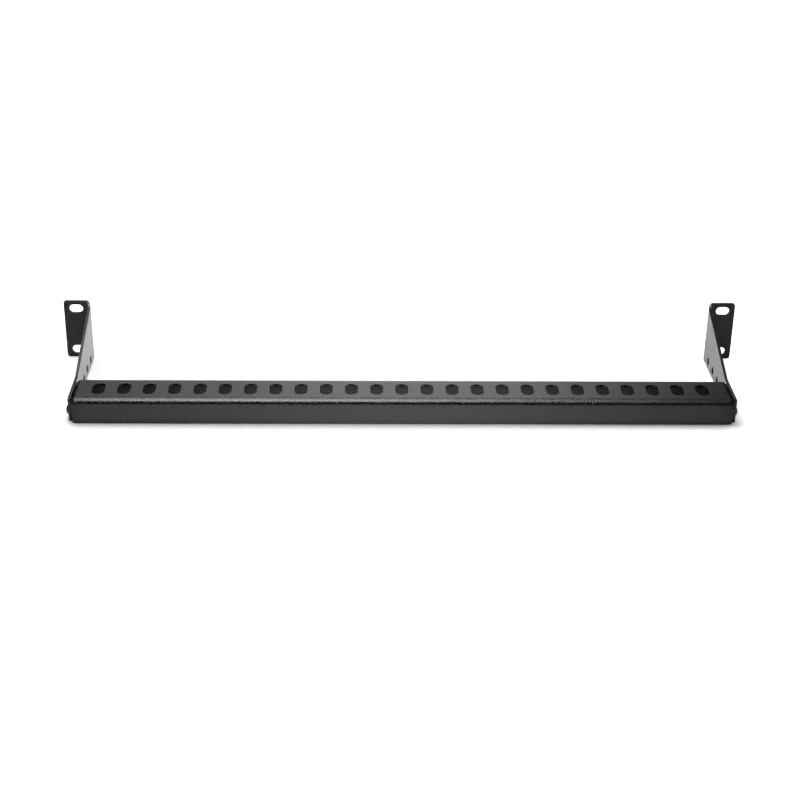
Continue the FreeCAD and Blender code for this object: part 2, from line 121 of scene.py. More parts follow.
def put_piece(name, points, faces, node, normals=None):
    """Makes a smooth mesh of points in millimetres, riding on the part's one body in place of a solid."""
    mesh = new_mesh(name, points, faces.tolist())
    mesh.validate()
    mesh.shade_smooth()
    if normals is not None:
        mesh.normals_split_custom_set_from_vertices(normals.tolist())
    piece = new_object(name, mesh)
    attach(piece, "root")
    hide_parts(node)
    print(f"{name}: {len(faces)} faces, {enclosed_volume(points, faces):.0f} mm3")
    return piece


# %% [markdown]
# ## Sheet metal as a flat blank
#
# Bar and brackets are made as the real ones are: a flat blank is punched, then folded. The blank is a set of
# grids in two flat directions, u and v. A grid between four sides covers plain sheet, and a ring of faces
# runs from a cell's outline in to a hole's outline. Cutting holes with booleans would be shorter, but it
# leaves long thin triangles that shade badly on a glossy coat.

# %% Grids of the flat blank
STEPS, CORNER_STEPS, RING_ROWS = 12, 4, 4


def points_of(*axes):
    """Points from their separate coordinates, each spread to the same shape."""
    return np.stack(np.broadcast_arrays(*axes), axis=-1)


def on_circle(centre, radius, degrees):
    """Points of a circle at the given angles, which count anticlockwise."""
    angle = np.radians(degrees)
    return np.array(centre) + radius * points_of(np.cos(angle), np.sin(angle))


def run(start, end, steps=STEPS):
    """Points or values evenly from a start to an end, both included."""
    return np.linspace(start, end, steps + 1)


def corner(centre, radius, first):
    """Points along a quarter circle, anticlockwise from an angle in degrees."""
    return on_circle(centre, radius, run(first, first + 90, CORNER_STEPS))


def outline_of(*sides):
    """One closed outline from runs, each of which starts where the last one ends."""
    return np.concatenate([side[:-1] for side in sides])


def plain_cell(low, high):
    """A rectangle's outline, anticlockwise from its lower left corner."""
    low_right, high_left = (high[0], low[1]), (low[0], high[1])
    return outline_of(run(low, low_right), run(low_right, high), run(high, high_left), run(high_left, low))


def round_hole(centre, radius):
    """A circle's outline, anticlockwise, starting at the corner of its cell."""
    return on_circle(centre, radius, -135 + np.arange(4 * STEPS) * 90 / STEPS)


def upright_slot(centre, length, width):
    """A slot's outline: half a circle, a straight side, half a circle and the other side."""
    radius, half = width / 2, (length - width) / 2
    arc = on_circle((0, 0), radius, np.arange(STEPS) * 180 / STEPS)
    side = run((radius, -half), (radius, half))[:-1]
    return np.array(centre) + np.concatenate([-arc - (0, half), side, arc + (0, half), -side])


def lying_slot(centre, length, width):
    """The upright slot turned a quarter, starting with its lower straight side."""
    upright = upright_slot((0, 0), length, width)
    return np.array(centre) + np.roll(upright[:, ::-1] * (-1, 1), STEPS, axis=0)


def ring(cell, hole):
    """A grid from a cell's outline in to a hole's outline: outline + share * (hole - outline)."""
    share = run(0, 1, RING_ROWS)[:, None, None]
    grid = cell + share * (hole - cell)
    return np.concatenate([grid, grid[:, :1]], axis=1)


def between(lower, upper, shares):
    """A grid from a lower run of points up to an upper one, at the given shares of the way."""
    return lower + np.asarray(shares)[:, None, None] * (upper - lower)


def mirrored(grid):
    """The same grid across u = 0, its columns turned round so that it faces the same way."""
    return grid[:, ::-1] * (-1, 1)


print("points round a hole:", len(round_hole((0, 0), 1)))

# %% [markdown]
# ## Folding the blank
#
# A fold is a function from the flat (u, v) to a point and a normal in space. The blank's two faces lie a
# sheet's thickness apart along the normal. The edge between them is a profile carried along the outline: a
# quarter round, a straight side and another quarter round, because punching and a thick coat never leave a
# sharp edge. A bevel modifier could round it too, but here the normals come from the same formula, so that
# flat faces stay flat in the gloss right up to the rim.

# %% Sheet with rounded rims
RIM_TURNS = np.radians([30, 60, 90])
WELD_DIGITS = 4


def grid_faces(index):
    """Four-sided faces between neighbouring rows and columns of a grid of point numbers."""
    faces = np.stack([index[:-1, :-1], index[:-1, 1:], index[1:, 1:], index[1:, :-1]], axis=-1)
    return faces.reshape(-1, 4)


def weld(grids):
    """Joins grids into one flat mesh; points that round to the same place become one."""
    points, faces, count = [], [], 0
    for grid in grids:
        index = count + np.arange(grid.shape[0] * grid.shape[1]).reshape(grid.shape[:2])
        faces.append(grid_faces(index))
        points.append(grid.reshape(-1, 2))
        count += index.size
    flat = np.concatenate(points)
    rounded = np.round(flat, WELD_DIGITS)
    _, first, place = np.unique(rounded, axis=0, return_index=True, return_inverse=True)
    return flat[first], place.reshape(-1)[np.concatenate(faces)]


def unit(vectors):
    """The same directions with a length of 1."""
    return vectors / np.linalg.norm(vectors, axis=-1, keepdims=True)


def outward(flat, start, end):
    """The direction to the right of a flat edge, which is away from the sheet."""
    return unit(flat[end] - flat[start])[:, ::-1] * (1, -1)


def folded_sheet(grids, fold, thickness, rim):
    """Points, faces and normals of a folded sheet whose rims are rounded by the radius rim.

    The grids reach to rim inside the true outline. At an angle t round the rim, the edge stands out by
    rim * sin(t) and has sunk by rim * (1 - cos(t)); the back half is the same, seen from the other face.
    """
    flat, quads = weld(grids)
    count = len(flat)
    start, end = quads.ravel(), np.roll(quads, -1, axis=1).ravel()
    free = ~np.isin(end * count + start, start * count + end)
    start, end = start[free], end[free]
    edge = np.unique(start)
    before, following, place = np.zeros((3, count), int)
    before[end], following[start], place[edge] = start, end, np.arange(len(edge))

    one, two = outward(flat, before[edge], edge), outward(flat, edge, following[edge])
    away = (one + two) / (1 + (one * two).sum(axis=1, keepdims=True))
    sines, cosines = np.sin(RIM_TURNS), np.cos(RIM_TURNS)
    aside = np.concatenate([sines, sines[::-1]])
    facing = np.concatenate([cosines, -cosines[::-1]])
    depth = np.concatenate([rim * (1 - cosines), thickness - rim * (1 - cosines[::-1])])

    spread_out = flat[edge] + rim * aside[:, None, None] * away
    rim_points, rim_normals, rim_along = fold(spread_out.reshape(-1, 2))
    rim_upward = np.cross(rim_normals, rim_along)
    out = np.tile(away, (len(aside), 1))
    out = unit(out[:, :1] * rim_along + out[:, 1:] * rim_upward)
    facing, aside, depth = [np.repeat(values, len(edge))[:, None] for values in (facing, aside, depth)]

    face_points, face_normals, _ = fold(flat)
    points = np.concatenate([face_points, face_points - thickness * face_normals,
                             rim_points - depth * rim_normals])
    normals = np.concatenate([face_normals, -face_normals, facing * rim_normals + aside * out])
    rows = 2 * count + np.arange(len(facing)).reshape(-1, len(edge))
    rows = np.concatenate([edge[None], rows, count + edge[None]])
    here, there = place[start], place[end]
    band = np.stack([rows[:-1, there], rows[:-1, here], rows[1:, here], rows[1:, there]], axis=-1)
    faces = np.concatenate([quads, quads[:, ::-1] + count, band.reshape(-1, 4)])
    return points, faces, normals


print("rows round a rim:", 2 * len(RIM_TURNS))

# %% [markdown]
# ## The bar's blank
#
# The bar is a channel, open below: a front wall, a top flange with a row of round-ended tie slots, and a back
# wall. A tab folded back from each end of the front wall takes the screws, and each end of the flange turns
# down in a short lip. In the blank, u runs along the bar and v runs up the front wall, over the top and down
# the back. Folding a blank keeps the arc lengths true, and walls, lips and tabs share their corner points.

# %% Bar sizes
BAR_RIM = 0.1
BAR_SHEET = 1.5
BAR_FRONT, BAR_BACK = -107.0, -74.025
BAR_FOOT, BAR_TOP = -22.43, -4.43
BEND, BEND_ROWS = 4.0, 8
FLANGE_END = 219.45
TAB_FACE, TAB_BEND = 221.75, 1.6
LIP_START, LIP_BEND = 219.1, 2.6
LIP_BEND_ROWS, LIP_MARGIN = 6, 0.5

wall = BAR_TOP - BAR_FOOT - BEND
top_start = wall + BEND * np.pi / 2
top_end = top_start + BAR_BACK - BAR_FRONT - 2 * BEND
back_start = top_end + BEND * np.pi / 2
blank_height = back_start + wall
rear_bend_rows = run(top_end, back_start, BEND_ROWS)
lip_foot = rear_bend_rows[LIP_BEND_ROWS]
tab_turn_start = TAB_FACE - TAB_BEND
tab_turn_end = tab_turn_start + TAB_BEND * np.pi / 2
print(f"bar blank: {2 * FLANGE_END:.1f} by {blank_height:.1f} mm")


# %% Bar folds
def fold_bar(flat):
    """Carries the bar's blank over its folds.

    With the turns a and b of the two long bends and t of the tab's bend, the sheet's section is
    depth = R (1 - cos a) + top + R sin b and height = wall + R sin a - R (1 - cos b) - back, and the tab's
    bend swings that section about an upright axis. The flange's ends turn down by the angle s about an axis
    that runs back: x = start + r sin s and drop = r (1 - cos s). Returns points, normals and directions
    along u.
    """
    u, v = flat.T
    side, out = np.sign(u), np.abs(u)
    front_turn = np.clip((v - wall) / BEND, 0, np.pi / 2)
    back_turn = np.clip((v - top_end) / BEND, 0, np.pi / 2)
    depth = BEND * (1 - np.cos(front_turn)) + np.clip(v - top_start, 0, top_end - top_start)
    depth = depth + BEND * np.sin(back_turn)
    height = np.minimum(v, wall) + BEND * np.sin(front_turn) - BEND * (1 - np.cos(back_turn))
    height = height - np.maximum(v - back_start, 0)
    flange = (v > top_start - LIP_MARGIN) & (v < lip_foot + LIP_MARGIN)
    lip = np.where(flange, np.clip((out - LIP_START) / LIP_BEND, 0, np.pi / 2), 0)
    turn = np.where(flange, 0, np.clip((out - tab_turn_start) / TAB_BEND, 0, np.pi / 2))
    straight = np.where(flange, 0, np.maximum(out - tab_turn_end, 0))
    x = np.minimum(out, np.where(flange, LIP_START, tab_turn_start))
    x = x + LIP_BEND * np.sin(lip) + TAB_BEND * np.sin(turn) - np.sin(turn) * depth
    height = height - LIP_BEND * (1 - np.cos(lip))
    y = BAR_FRONT + TAB_BEND * (1 - np.cos(turn)) + straight + np.cos(turn) * depth
    lean = front_turn + back_turn
    normals = points_of(side * (np.sin(turn) * np.cos(lean) + np.sin(lip) * np.sin(lean)),
                        -np.cos(turn) * np.cos(lip) * np.cos(lean), np.cos(lip) * np.sin(lean))
    along = points_of(np.cos(turn) * np.cos(lip), side * np.sin(turn), -side * np.sin(lip))
    return points_of(side * x, y, BAR_FOOT + height), unit(normals), along


print("front edge of the top:", fold_bar(np.array([[0.0, top_start]]))[0].round(2).tolist())

# %% [markdown]
# ## The bar's grids
#
# Columns of the long grids follow the slots, a dozen to each slot's cell, so that the rings round the slots
# join walls and bends point for point. The foot's corners are rounded by drawing the end of each row in. The
# lips go on from the flange's ends and run over the rear bend, where they shade the gap beside the arms.

# %% Bar rows and columns
FIRST_SLOT, SLOT_PITCH, SLOT_COUNT = -205.2, 17.0, 25
LEFT_COLUMNS, RIGHT_COLUMNS, FRONT_BEND_ROWS = 4, 6, 7
FOOT_CORNER = 0.25
FOOT_TURNS = np.radians([0, 22.5, 45, 67.5, 90])
TAB_FOOT_RELIEF, TAB_TOP_RELIEF = 0.2, 3.8
SCREW_HEIGHT = -16.33

slot_places = FIRST_SLOT + SLOT_PITCH * np.arange(SLOT_COUNT)
end_inset = FLANGE_END - BAR_RIM
first_cell, last_cell = slot_places[0] - SLOT_PITCH / 2, slot_places[-1] + SLOT_PITCH / 2
slot_columns = run(first_cell, last_cell, STEPS * SLOT_COUNT)
left_columns = run(-end_inset, first_cell, LEFT_COLUMNS)
right_columns = run(last_cell, end_inset, RIGHT_COLUMNS)
columns = np.concatenate([left_columns[:-1], slot_columns, right_columns[1:]])

tab_low = TAB_FOOT_RELIEF + BAR_RIM
tab_high = BAR_TOP - BAR_FOOT - TAB_TOP_RELIEF - BAR_RIM
hole_height = SCREW_HEIGHT - BAR_FOOT
ring_top = 2 * hole_height - tab_low
foot_rows = BAR_RIM + (FOOT_CORNER - BAR_RIM) * (1 - np.sin(FOOT_TURNS)[::-1])
tab_rows = np.concatenate([run(tab_low, ring_top), [(ring_top + wall) / 2, wall]])
bend_rows = run(tab_high, top_start, FRONT_BEND_ROWS)
front_rows = np.concatenate([foot_rows, tab_rows, bend_rows])
top_rows = run(top_start, top_end)
back_rows = np.concatenate([rear_bend_rows, [back_start + wall / 2, blank_height - BAR_RIM]])
print("columns along the bar:", len(columns), "rows over its top:", len(top_rows))

# %% Bar grids
SLOT_LENGTH, SLOT_WIDTH = 16.2, 8.5
LIP_TURN = np.radians(85)


def long_grid(rows, across):
    """A grid over the given rows and columns whose outer columns are drawn in round the foot's corners."""
    radius = FOOT_CORNER - BAR_RIM
    sunk = np.clip(FOOT_CORNER - rows, 0, radius)
    ends = (end_inset - (radius - np.sqrt(radius ** 2 - sunk ** 2)))[:, None]
    reach_left = (ends + first_cell) / (end_inset + first_cell)
    reach_right = (ends - last_cell) / (end_inset - last_cell)
    u = np.where(across < first_cell, first_cell + (across - first_cell) * reach_left, across)
    u = np.where(across > last_cell, last_cell + (across - last_cell) * reach_right, u)
    return points_of(u, rows[:, None])


bar_grids = [long_grid(front_rows, columns), long_grid(back_rows, columns),
             long_grid(top_rows, left_columns), long_grid(top_rows, right_columns)]
lip_columns = run(end_inset, LIP_START + LIP_BEND * LIP_TURN - BAR_RIM)
lip_rows = np.concatenate([top_rows, rear_bend_rows[1:LIP_BEND_ROWS + 1]])
lip_grid = points_of(lip_columns, lip_rows[:, None])
bar_grids += [lip_grid, mirrored(lip_grid)]
slot_size = SLOT_LENGTH + 2 * BAR_RIM, SLOT_WIDTH + 2 * BAR_RIM
for place in slot_places:
    cell = plain_cell((place - SLOT_PITCH / 2, top_start), (place + SLOT_PITCH / 2, top_end))
    bar_grids.append(ring(cell, upright_slot((place, (top_start + top_end) / 2), *slot_size)))
print("grids of the bar without its tabs:", len(bar_grids))

# %% [markdown]
# ## The end tabs
#
# Each tab is a strip that turns the corner from the front wall and runs back along the arm, with two holes
# for the nuts. It is part of the bar's blank, because it is modelled as cut from the same sheet. A plain
# strip lies above the rings round the holes.

# %% Tab outlines
FIRST_HOLE, HOLE_PITCH = -98.0, 15.875
SCREW_PLACES = FIRST_HOLE + HOLE_PITCH * np.arange(2)
TAB_CORNER, TAB_BACK_GAP, TAB_HOLE = 2.0, 0.5, 2.72
TAB_BEND_COLUMNS, RING_REACH = 6, 5.6

tab_end = tab_turn_end + (BAR_BACK - BAR_SHEET - TAB_BACK_GAP) - (BAR_FRONT + TAB_BEND) - BAR_RIM
hole_places = tab_turn_end + SCREW_PLACES - (BAR_FRONT + TAB_BEND)
tab_joint = hole_places.mean()
ring_start = hole_places[0] - RING_REACH
tab_radius = TAB_CORNER - BAR_RIM
low_corner = corner((tab_end - tab_radius, tab_low + tab_radius), tab_radius, -90)
high_corner = corner((tab_end - tab_radius, tab_high - tab_radius), tab_radius, 0)[::-1]
ring_tops = run((ring_start, ring_top), (tab_joint, ring_top))
straight_tops = run((tab_joint, ring_top), (tab_end - tab_radius, ring_top), STEPS - CORNER_STEPS)[:-1]
end_tops = np.concatenate([straight_tops, points_of(high_corner[:, 0], ring_top)])
near_cell = plain_cell((ring_start, tab_low), (tab_joint, ring_top))
far_cell = outline_of(run((tab_joint, tab_low), low_corner[0], STEPS - CORNER_STEPS), low_corner,
                      run(low_corner[-1], (tab_end, ring_top)),
                      end_tops[::-1], run((tab_joint, ring_top), (tab_joint, tab_low)))
print(f"tab: {tab_end - tab_turn_end:.1f} mm long, {tab_high - tab_low:.1f} mm high")

# %% Tab grids and the whole bar
turn_columns = run(tab_turn_start, tab_turn_end, TAB_BEND_COLUMNS)
bend_columns = np.concatenate([[end_inset], turn_columns, [ring_start]])
wall_rows = np.concatenate([tab_rows, [tab_high]])
tab_bend_grid = points_of(bend_columns, wall_rows[:, None])
strip_low = np.concatenate([ring_tops[:-1], end_tops])
strip_high = np.concatenate([ring_tops[:-1], straight_tops, high_corner])
strip_high[:-len(high_corner), 1] = tab_high
strip_shares = (np.concatenate([tab_rows[STEPS:], [tab_high]]) - ring_top) / (tab_high - ring_top)
tab_grids = [tab_bend_grid, between(strip_low, strip_high, strip_shares)]
for cell, place in zip((near_cell, far_cell), hole_places):
    tab_grids.append(ring(cell, round_hole((place, hole_height), TAB_HOLE + BAR_RIM)))
bar_grids += tab_grids + [mirrored(grid) for grid in tab_grids]
bar_points, bar_faces, bar_normals = folded_sheet(bar_grids, fold_bar, BAR_SHEET, BAR_RIM)
lacing_bar = put_piece("slotted_bar", bar_points, bar_faces, "lacing_bar", bar_normals)

# %% [markdown]
# ## The brackets
#
# A bracket's blank is long and narrow: the arm with its row of holes, then the fold, then the ear with the
# two slots that bolt to the rack. u runs from the arm's nose to the ear's tip and v is the height. The right
# bracket is the left one's mirror image, as the real pair is.

# %% Bracket sizes and fold
ARM_RIM = 0.25
ARM_SHEET = 2.0
ARM_INNER, ARM_REACH, ARM_BEND = 221.9, 105.5, 3.5
EAR_TIP = 241.3
HALF_HEIGHT = 21.83

arm_run = ARM_REACH - ARM_BEND
ear_start = arm_run + ARM_BEND * np.pi / 2
ear_end = ear_start + EAR_TIP - ARM_INNER - ARM_BEND


def fold_left_bracket(flat):
    """Carries a bracket's blank round its one fold, whose turn is t = (u - run) / R.

    The point is (-(inner + R (1 - cos t) + ear), run + R sin t, v), and the normal (cos t, sin t, 0) faces
    the bar on the arm and the rack on the ear. Returns points, normals and directions along u.
    """
    u, v = flat.T
    turn = np.clip((u - arm_run) / ARM_BEND, 0, np.pi / 2)
    x = ARM_INNER + ARM_BEND * (1 - np.cos(turn)) + np.maximum(u - ear_start, 0)
    y = np.minimum(u, arm_run) - ARM_REACH + ARM_BEND * np.sin(turn)
    normals, along = points_of(np.cos(turn), np.sin(turn), 0), points_of(-np.sin(turn), np.cos(turn), 0)
    return points_of(-x, y, v), normals, along


print(f"bracket blank: {ear_end:.1f} by {2 * HALF_HEIGHT:.1f} mm")

# %% [markdown]
# The arm's top is level over the bar and climbs straight to the fold, where it rounds into the ear's top. An
# arc softens the kink where the climb starts. The edge is a dense line of points, moved inwards along its own
# normal by the rim's radius, and the grids below read their top rows from it.

# %% Top edge of the bracket
FOLD_CORNER = 3.4
KINK, KINK_RADIUS = -73.025, 6.0
ARM_POINTS, FOLD_POINTS, EAR_POINTS = 500, 60, 200

fold_low = HALF_HEIGHT - FOLD_CORNER
edge_u = np.concatenate([np.linspace(0, arm_run, ARM_POINTS),
                         np.linspace(arm_run, ear_start, FOLD_POINTS)[1:],
                         np.linspace(ear_start, ear_end, EAR_POINTS)[1:]])
edge_x = -fold_left_bracket(points_of(edge_u, 0))[0][:, 0]
climb = (fold_low - BAR_TOP) / (-ARM_BEND - KINK)
past_kink = edge_u - ARM_REACH - KINK
into_round = past_kink + KINK_RADIUS * np.tan(np.arctan(climb) / 2)
round_end = KINK_RADIUS * np.sin(np.arctan(climb))
kink_round = KINK_RADIUS - np.sqrt(KINK_RADIUS ** 2 - np.clip(into_round, 0, round_end) ** 2)
sloping = BAR_TOP + np.where(into_round < round_end, kink_round, climb * past_kink)
fold_reach = np.clip(ARM_INNER + FOLD_CORNER - edge_x, 0, FOLD_CORNER)
edge_v = np.where(edge_u <= arm_run, sloping, fold_low + np.sqrt(FOLD_CORNER ** 2 - fold_reach ** 2))
steep = np.gradient(edge_v, edge_u)
inset_u = edge_u + ARM_RIM * steep / np.hypot(1, steep)
inset_v = edge_v - ARM_RIM / np.hypot(1, steep)


def blank_top(u):
    """Height of the blank's inset top edge at u."""
    return np.interp(u, inset_u, inset_v)


print(f"the arm's top climbs {np.degrees(np.arctan(climb)):.1f} degrees")

# %% [markdown]
# The holes lie a rack's hole spacing apart, so that the bar can be set to several depths. Each hole has its
# ring in a cell of its own, and one wide grid covers the arm from the cells up to the climbing edge. Its rows
# close up towards the top, where the edge's shape matters most.

# %% Arm grids
NOSE_CORNER = 1.0
ARM_HOLE, ARM_HOLE_COUNT = 2.75, 6
ROW_POWER = 0.75

foot_v = -HALF_HEIGHT + ARM_RIM
nose_radius = NOSE_CORNER - ARM_RIM
row_top = 2 * SCREW_HEIGHT - foot_v
hole_u = FIRST_HOLE + HOLE_PITCH * np.arange(ARM_HOLE_COUNT) + ARM_REACH
joints = np.concatenate([[ARM_RIM], (hole_u[1:] + hole_u[:-1]) / 2, [hole_u[-1] + HOLE_PITCH / 2]])
nose_low = corner((ARM_RIM + nose_radius, foot_v + nose_radius), nose_radius, 180)
nose_run = run(nose_low[-1], (joints[1], foot_v), STEPS - CORNER_STEPS)
nose_columns = np.concatenate([nose_low[:-1, 0], nose_run[:, 0]])
nose_cell = outline_of(nose_low, nose_run, run((joints[1], foot_v), (joints[1], row_top)),
                       points_of(nose_columns[::-1], row_top), run((joints[0], row_top), nose_low[0]))
spans = list(zip(joints[1:-1], joints[2:]))
cells = [nose_cell] + [plain_cell((start, foot_v), (stop, row_top)) for start, stop in spans]
arm_grids = [ring(cell, round_hole((place, SCREW_HEIGHT), ARM_HOLE + ARM_RIM))
             for cell, place in zip(cells, hole_u)]

arm_columns = np.concatenate([nose_columns] + [run(*span)[1:] for span in spans])
nose_in = np.clip(ARM_RIM + nose_radius - arm_columns, 0, nose_radius)
arm_tops = blank_top(arm_columns) - (nose_radius - np.sqrt(nose_radius ** 2 - nose_in ** 2))
even_shares = run(0, 1)
wide_shares = 1 - (1 - even_shares) ** ROW_POWER
arm_grids.append(between(points_of(arm_columns, row_top), points_of(arm_columns, arm_tops), wide_shares))
print("holes in the arm:", len(hole_u))

# %% [markdown]
# Between the last hole and the fold, a short grid leads from the arm's rows over to the fold's own rows. The
# ear is two cells, one above the other, each with a slot that lies on its side.

# %% Fold grids
FOLD_COLUMNS, RUN_IN_COLUMNS = 8, 4

arm_rows = np.concatenate([foot_v + even_shares * (row_top - foot_v),
                           (row_top + wide_shares * (blank_top(joints[-1]) - row_top))[1:]])
fold_columns = run(arm_run, ear_start, FOLD_COLUMNS)
fold_rows = np.concatenate([np.tile(foot_v * (1 - even_shares)[:, None], len(fold_columns)),
                            even_shares[1:, None] * blank_top(fold_columns)])
arm_grids.append(points_of(fold_columns, fold_rows))
run_in = run(joints[-1], arm_run, RUN_IN_COLUMNS)
run_in_share = (run_in - joints[-1]) / (arm_run - joints[-1])
run_in_rows = arm_rows[:, None] + run_in_share * (fold_rows[:, :1] - arm_rows[:, None])
run_in_rows[-1] = blank_top(run_in)
arm_grids.append(points_of(run_in, run_in_rows))
print("rows over the fold:", len(fold_rows))

# %% Ear grids and both brackets
EAR_CORNER = 2.0
EAR_SLOT, EAR_SLOT_LENGTH, EAR_SLOT_HEIGHT = (232.55, 15.875), 9.8, 6.4

tip_u, ear_radius = ear_end - ARM_RIM, EAR_CORNER - ARM_RIM
ear_top = HALF_HEIGHT - ARM_RIM
tip_low = corner((tip_u - ear_radius, foot_v + ear_radius), ear_radius, -90)
tip_high = corner((tip_u - ear_radius, ear_top - ear_radius), ear_radius, 0)
top_run = run(tip_high[-1], (ear_start, ear_top), STEPS - CORNER_STEPS)
top_run[-1, 1] = fold_rows[-1, -1]
lower_ear = outline_of(run((ear_start, foot_v), tip_low[0], STEPS - CORNER_STEPS), tip_low,
                       run(tip_low[-1], (tip_u, 0)), run((tip_u, 0), (ear_start, 0)),
                       run((ear_start, 0), (ear_start, foot_v)))
upper_ear = outline_of(run((ear_start, 0), (tip_u, 0)), run((tip_u, 0), tip_high[0]), tip_high, top_run,
                       run(top_run[-1], (ear_start, 0)))
slot_u = ear_start + EAR_SLOT[0] - ARM_INNER - ARM_BEND
slot_size = EAR_SLOT_LENGTH + 2 * ARM_RIM, EAR_SLOT_HEIGHT + 2 * ARM_RIM
for cell, sign in ((lower_ear, -1), (upper_ear, 1)):
    arm_grids.append(ring(cell, lying_slot((slot_u, sign * EAR_SLOT[1]), *slot_size)))

points, faces, normals = folded_sheet(arm_grids, fold_left_bracket, ARM_SHEET, ARM_RIM)
left_bracket = put_piece("left_bracket", points, faces, "left_arm", normals)
flip = np.array([-1, 1, 1])
right_bracket = put_piece("right_bracket", points * flip, faces[:, ::-1], "right_arm",
                          normals * flip)

# %% [markdown]
# ## Screws and nuts
#
# Two pan head screws with a cross recess go through each arm. A turned part is a profile swept about its
# axis, so a grid of profile rows and angles is its natural surface. The recess sinks the head's rows by a
# smooth function of place, and the thread is a triangle wave that climbs one pitch each turn. A screw
# modifier could cut the thread, but this way the screw stays one closed skin.

# %% Turned parts
TURN_COLUMNS = 96
THREAD_RADIUS, THREAD_DEPTH, THREAD_PITCH = 2.0, 0.38, 0.7
WAVE_GAIN, WAVE_SINK = 2.4, 0.1
around = np.arange(TURN_COLUMNS) * 2 * np.pi / TURN_COLUMNS


def thread_wave(height, angle):
    """1 on the crests and 0 in the roots of a right-hand thread, a clipped triangle wave."""
    phase = (height / THREAD_PITCH - angle / (2 * np.pi)) % 1
    return np.clip(WAVE_GAIN * np.abs(phase - 0.5) - WAVE_SINK, 0, 1)


def turned_faces(rows, closed):
    """Four-sided faces over rows and angles; a closed profile also joins its last row to its first."""
    index = np.arange(rows * TURN_COLUMNS).reshape(rows, TURN_COLUMNS)
    upper = index if closed else index[:-1]
    lower = np.roll(index, -1, axis=0) if closed else index[1:]
    faces = np.stack([upper, lower, np.roll(lower, -1, axis=1), np.roll(upper, -1, axis=1)], axis=-1)
    return faces.reshape(-1, 4)


def lay_across(radius, height, side, seat, place):
    """Turns an upright grid so that its axis points away from the bar's middle, and seats it."""
    return points_of(side * (seat + height), place + radius * np.cos(around),
                     SCREW_HEIGHT + side * radius * np.sin(around)).reshape(-1, 3)


def four_alike(name, solid, grid, faces, seat, sharp):
    """Puts a turned part at each of the four screw places, sharp where faces meet at so many degrees."""
    made = []
    for side_name, side in (("left", -1), ("right", 1)):
        for place_name, place in zip(("front", "rear"), SCREW_PLACES):
            which = f"{side_name}_{place_name}"
            points = lay_across(*grid, side, seat, place)
            piece = put_piece(f"{name}_{which}", points, faces, f"{solid}_{which}")
            piece.data.set_sharp_from_angle(angle=np.radians(sharp))
            made.append(piece)
    return made


print("columns round a turned part:", TURN_COLUMNS)

# %% Screws
HEAD_RADIUS, HEAD_HEIGHT, DOME_POWER, HEAD_ROWS = 3.5, 2.6, 2.6, 44
HEAD_ROUND, UNDER_ROWS = 0.25, 5
RECESS_SPAN, RECESS_WIDTH, RECESS_DEPTH, RECESS_TAPER, RECESS_EDGE = 3.6, 0.9, 1.5, 0.35, 0.16
SCREW_LENGTH, SHANK_TOP, SHANK_ROWS, TIP_CHAMFER = 8.0, 0.05, 110, 0.5
THREAD_START, THREAD_RUN_IN = 0.4, 0.6
CLOSING_SHARE, SMALLEST_SHARE, CLOSING_ROWS = 0.9, 0.03, 4
SCREW_SEAT, SCREW_SHARP = 223.9, 45


def smooth_step(value):
    """0 below 0, 1 above 1, and 3 x^2 - 2 x^3 between."""
    value = np.clip(value, 0, 1)
    return value * value * (3 - 2 * value)


def recess_share(x, y):
    """1 inside the cross, 0 outside, from the distance to its two crossed arms."""
    one = np.maximum(np.abs(x) - RECESS_SPAN / 2, np.abs(y) - RECESS_WIDTH / 2)
    two = np.maximum(np.abs(y) - RECESS_SPAN / 2, np.abs(x) - RECESS_WIDTH / 2)
    return smooth_step(0.5 - np.minimum(one, two) / RECESS_EDGE)


def screw_grid():
    """Radius and height of the screw over profile rows and angles.

    Head: height = H (1 - (r / R)^p)^(1 / p), less the recess. Shank: radius = crest - depth (1 - wave).
    """
    out = HEAD_RADIUS * np.sin(np.linspace(SMALLEST_SHARE, 1, HEAD_ROWS) * np.pi / 2)[:, None] + 0 * around
    dome = HEAD_HEIGHT * np.clip(1 - (out / HEAD_RADIUS) ** DOME_POWER, 0, 1) ** (1 / DOME_POWER)
    sunk = RECESS_DEPTH * (1 - RECESS_TAPER * out / (RECESS_SPAN / 2))
    dome = dome - sunk * recess_share(out * np.cos(around), out * np.sin(around))
    under = np.linspace(HEAD_RADIUS - HEAD_ROUND, THREAD_RADIUS, UNDER_ROWS)[:, None] + 0 * around
    down = -np.linspace(SHANK_TOP, SCREW_LENGTH, SHANK_ROWS)[:, None] + 0 * around
    crest = np.minimum(THREAD_RADIUS, THREAD_RADIUS - TIP_CHAMFER + SCREW_LENGTH + down)
    run_in_cut = smooth_step((-down - THREAD_START) / THREAD_RUN_IN)
    shank = np.minimum(crest, THREAD_RADIUS - THREAD_DEPTH * (1 - thread_wave(down, around)) * run_in_cut)
    closing = np.linspace(CLOSING_SHARE, SMALLEST_SHARE, CLOSING_ROWS)[:, None] * shank[-1:]
    radius = np.concatenate([out, under, shank, closing])
    height = np.concatenate([dome, 0 * under, down, -SCREW_LENGTH + 0 * closing])
    return radius, height


def end_cap(row, outward_first):
    """Closes a small round end with four-sided faces laid across it like the rungs of a ladder."""
    half = TURN_COLUMNS // 2
    cap = grid_faces(np.stack([row[:half], row[:half - 1:-1]]))
    return cap if outward_first else cap[:, ::-1]


screw_shape = screw_grid()
screw_rows = len(screw_shape[0])
first_row = np.arange(TURN_COLUMNS)
last_row = first_row + (screw_rows - 1) * TURN_COLUMNS
screw_faces = np.concatenate([turned_faces(screw_rows, closed=False),
                              end_cap(first_row, True), end_cap(last_row, False)])
screws = four_alike("pan_screw", "screw", screw_shape, screw_faces, SCREW_SEAT, SCREW_SHARP)

